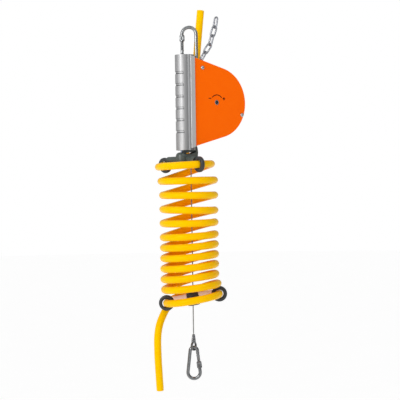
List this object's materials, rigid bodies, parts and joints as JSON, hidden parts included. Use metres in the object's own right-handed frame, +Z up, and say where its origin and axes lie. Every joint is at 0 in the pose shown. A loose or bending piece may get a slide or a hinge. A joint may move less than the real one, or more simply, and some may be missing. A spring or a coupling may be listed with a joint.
{
  "type": "spring balancer with spiral hose",
  "caption": "Hanging spring balancer for a hand tool: a sprung cable drum in a flat housing between safety hooks, with a spiral air hose coiled around the cable.",
  "frame": {"origin": "the point under the top hook's crown where the hook rests on its support", "axes": "+Z up along the hanging cable; the cover plates lie parallel to XZ, the grip nose points to -X and the front cover plate faces -Y"},
  "size_m": [0.1738, 0.1195, 0.6829],
  "materials": {
    "orange": "semi-gloss powder coat",
    "aluminium": "satin extruded",
    "zinc": "bright zinc plate",
    "hook_zinc": "bright zinc plate",
    "chain_zinc": "zinc plate",
    "spring_steel": "blued",
    "steel_cable": "stranded wire",
    "black_plastic": "moulded",
    "bracket_grey": "moulded",
    "tan_metal": "yellow passivated",
    "hose_yellow": "gloss polyurethane"
  },
  "bodies": {
    "top_hook": {"top_hook_body": "hook_zinc", "top_gate_pin": "hook_zinc"},
    "top_gate": {"top_gate": "hook_zinc"},
    "top_sleeve": {"top_sleeve": "hook_zinc"},
    "housing": {"body_extrusion": "aluminium", "front_cover_plate": "orange", "rear_cover_plate": "orange", "rim_band": "orange", "plate_bolt_top": "zinc", "plate_bolt_side": "zinc", "plate_nut_top": "zinc", "plate_nut_side": "zinc", "bolt_spacer_front": "zinc", "bolt_spacer_rear": "zinc", "cable_lead": "steel_cable", "upper_bracket": "bracket_grey", "upper_clamp_front": "black_plastic", "upper_clamp_rear": "black_plastic", "nose_plug": "black_plastic", "bracket_screw": "spring_steel", "hose_inlet": "hose_yellow"},
    "drum": {"cable_drum": "black_plastic", "cable_wound": "steel_cable", "spring_cover": "zinc", "mainspring": "spring_steel"},
    "adjuster": {"adjuster_shaft": "zinc", "shaft_snap_ring": "spring_steel"},
    "chain_1": {"chain_link_1": "chain_zinc"},
    "chain_2": {"chain_link_2": "chain_zinc"},
    "chain_3": {"chain_link_3": "chain_zinc"},
    "chain_4": {"chain_link_4": "chain_zinc"},
    "chain_5": {"chain_link_5": "chain_zinc"},
    "chain_6": {"chain_link_6": "chain_zinc"},
    "carriage": {"cable_drop": "steel_cable", "hose_coil": "hose_yellow", "hose_outlet": "hose_yellow", "lower_bar": "tan_metal", "lower_hub_cap": "black_plastic", "lower_hub_base": "black_plastic", "hub_screw_left": "zinc", "hub_screw_right": "zinc", "lower_clamp_left": "black_plastic", "lower_clamp_right": "black_plastic", "cable_ferrule": "hook_zinc", "thimble": "hook_zinc"},
    "tool_hook": {"tool_hook_body": "hook_zinc", "tool_gate_pin": "hook_zinc"},
    "tool_gate": {"tool_gate": "hook_zinc"},
    "tool_sleeve": {"tool_sleeve": "hook_zinc"}
  },
  "joints": [
    {"name": "housing_swing", "type": "hinge", "parent": "top_hook", "child": "housing", "pos_m": [0, 0, -0.0575], "axis": [0.5736, 0.8192, 0], "range_deg": [-8, 8]},
    {"name": "top_gate_open", "type": "hinge", "parent": "top_hook", "child": "top_gate", "pos_m": [-0.01024, 0.00717, -0.043], "axis": [0.5736, 0.8192, 0], "range_deg": [0, 25], "stiffness_Nm_per_rad": 0.05, "springref_deg": -17.19},
    {"name": "top_sleeve_travel", "type": "slide", "parent": "top_gate", "child": "top_sleeve", "axis": [0, 0, -1], "range_m": [-0.0025, 0.012]},
    {"name": "cable_pull", "type": "slide", "parent": "housing", "child": "carriage", "axis": [0, 0, -1], "range_m": [0, 1.2], "stiffness_N_per_m": 8, "springref_m": -2.2, "deforming": ["hose_coil", "cable_drop"]},
    {"name": "drum_spin", "type": "hinge", "parent": "housing", "child": "drum", "pos_m": [0.0447, 0, -0.1301], "axis": [0, -1, 0], "range_deg": [0, 1800]},
    {"name": "adjuster_turn", "type": "hinge", "parent": "housing", "child": "adjuster", "pos_m": [0.0447, 0, -0.1301], "axis": [0, -1, 0], "continuous": true},
    {"name": "tool_hook_swing", "type": "hinge", "parent": "carriage", "child": "tool_hook", "pos_m": [0, 0, -0.566], "axis": [0.8192, -0.5736, 0], "range_deg": [-15, 15]},
    {"name": "tool_gate_open", "type": "hinge", "parent": "tool_hook", "child": "tool_gate", "pos_m": [0.00571, -0.004, -0.57623], "axis": [0.5736, 0.8192, 0], "range_deg": [0, 20], "stiffness_Nm_per_rad": 0.05, "springref_deg": -17.19},
    {"name": "tool_sleeve_travel", "type": "slide", "parent": "tool_gate", "child": "tool_sleeve", "axis": [-0.0939, 0.0657, 0.9934], "range_m": [-0.0025, 0.008]},
    {"name": "chain_1_swing", "type": "hinge", "parent": "housing", "child": "chain_1", "pos_m": [0.0142, -0.011, -0.0695], "axis": [0, 1, 0], "range_deg": [-3, 10]},
    {"name": "chain_2_swing", "type": "hinge", "parent": "chain_1", "child": "chain_2", "pos_m": [0.01622, -0.01242, -0.05407], "axis": [0.9935, 0.0092, -0.1136], "range_deg": [-18, 10]},
    {"name": "chain_3_swing", "type": "hinge", "parent": "chain_2", "child": "chain_3", "pos_m": [0.0233, -0.01738, -0.04034], "axis": [0.1226, 0.958, 0.2593], "range_deg": [-4, 18]},
    {"name": "chain_4_swing", "type": "hinge", "parent": "chain_3", "child": "chain_4", "pos_m": [0.03055, -0.02245, -0.02688], "axis": [0.895, 0.1557, -0.4181], "range_deg": [-18, 18]},
    {"name": "chain_5_swing", "type": "hinge", "parent": "chain_4", "child": "chain_5", "pos_m": [0.03358, -0.02457, -0.01112], "axis": [0.0318, 0.9889, 0.145], "range_deg": [-4, 18]},
    {"name": "chain_6_swing", "type": "hinge", "parent": "chain_5", "child": "chain_6", "pos_m": [0.03762, -0.0274, 0.00421], "axis": [0.9688, 0.0443, -0.2437], "range_deg": [-18, 18]}
  ],
  "couplings": [
    {"joint": "drum_spin", "follows": "cable_pull", "rad_per_m": 26.11}
  ]
}
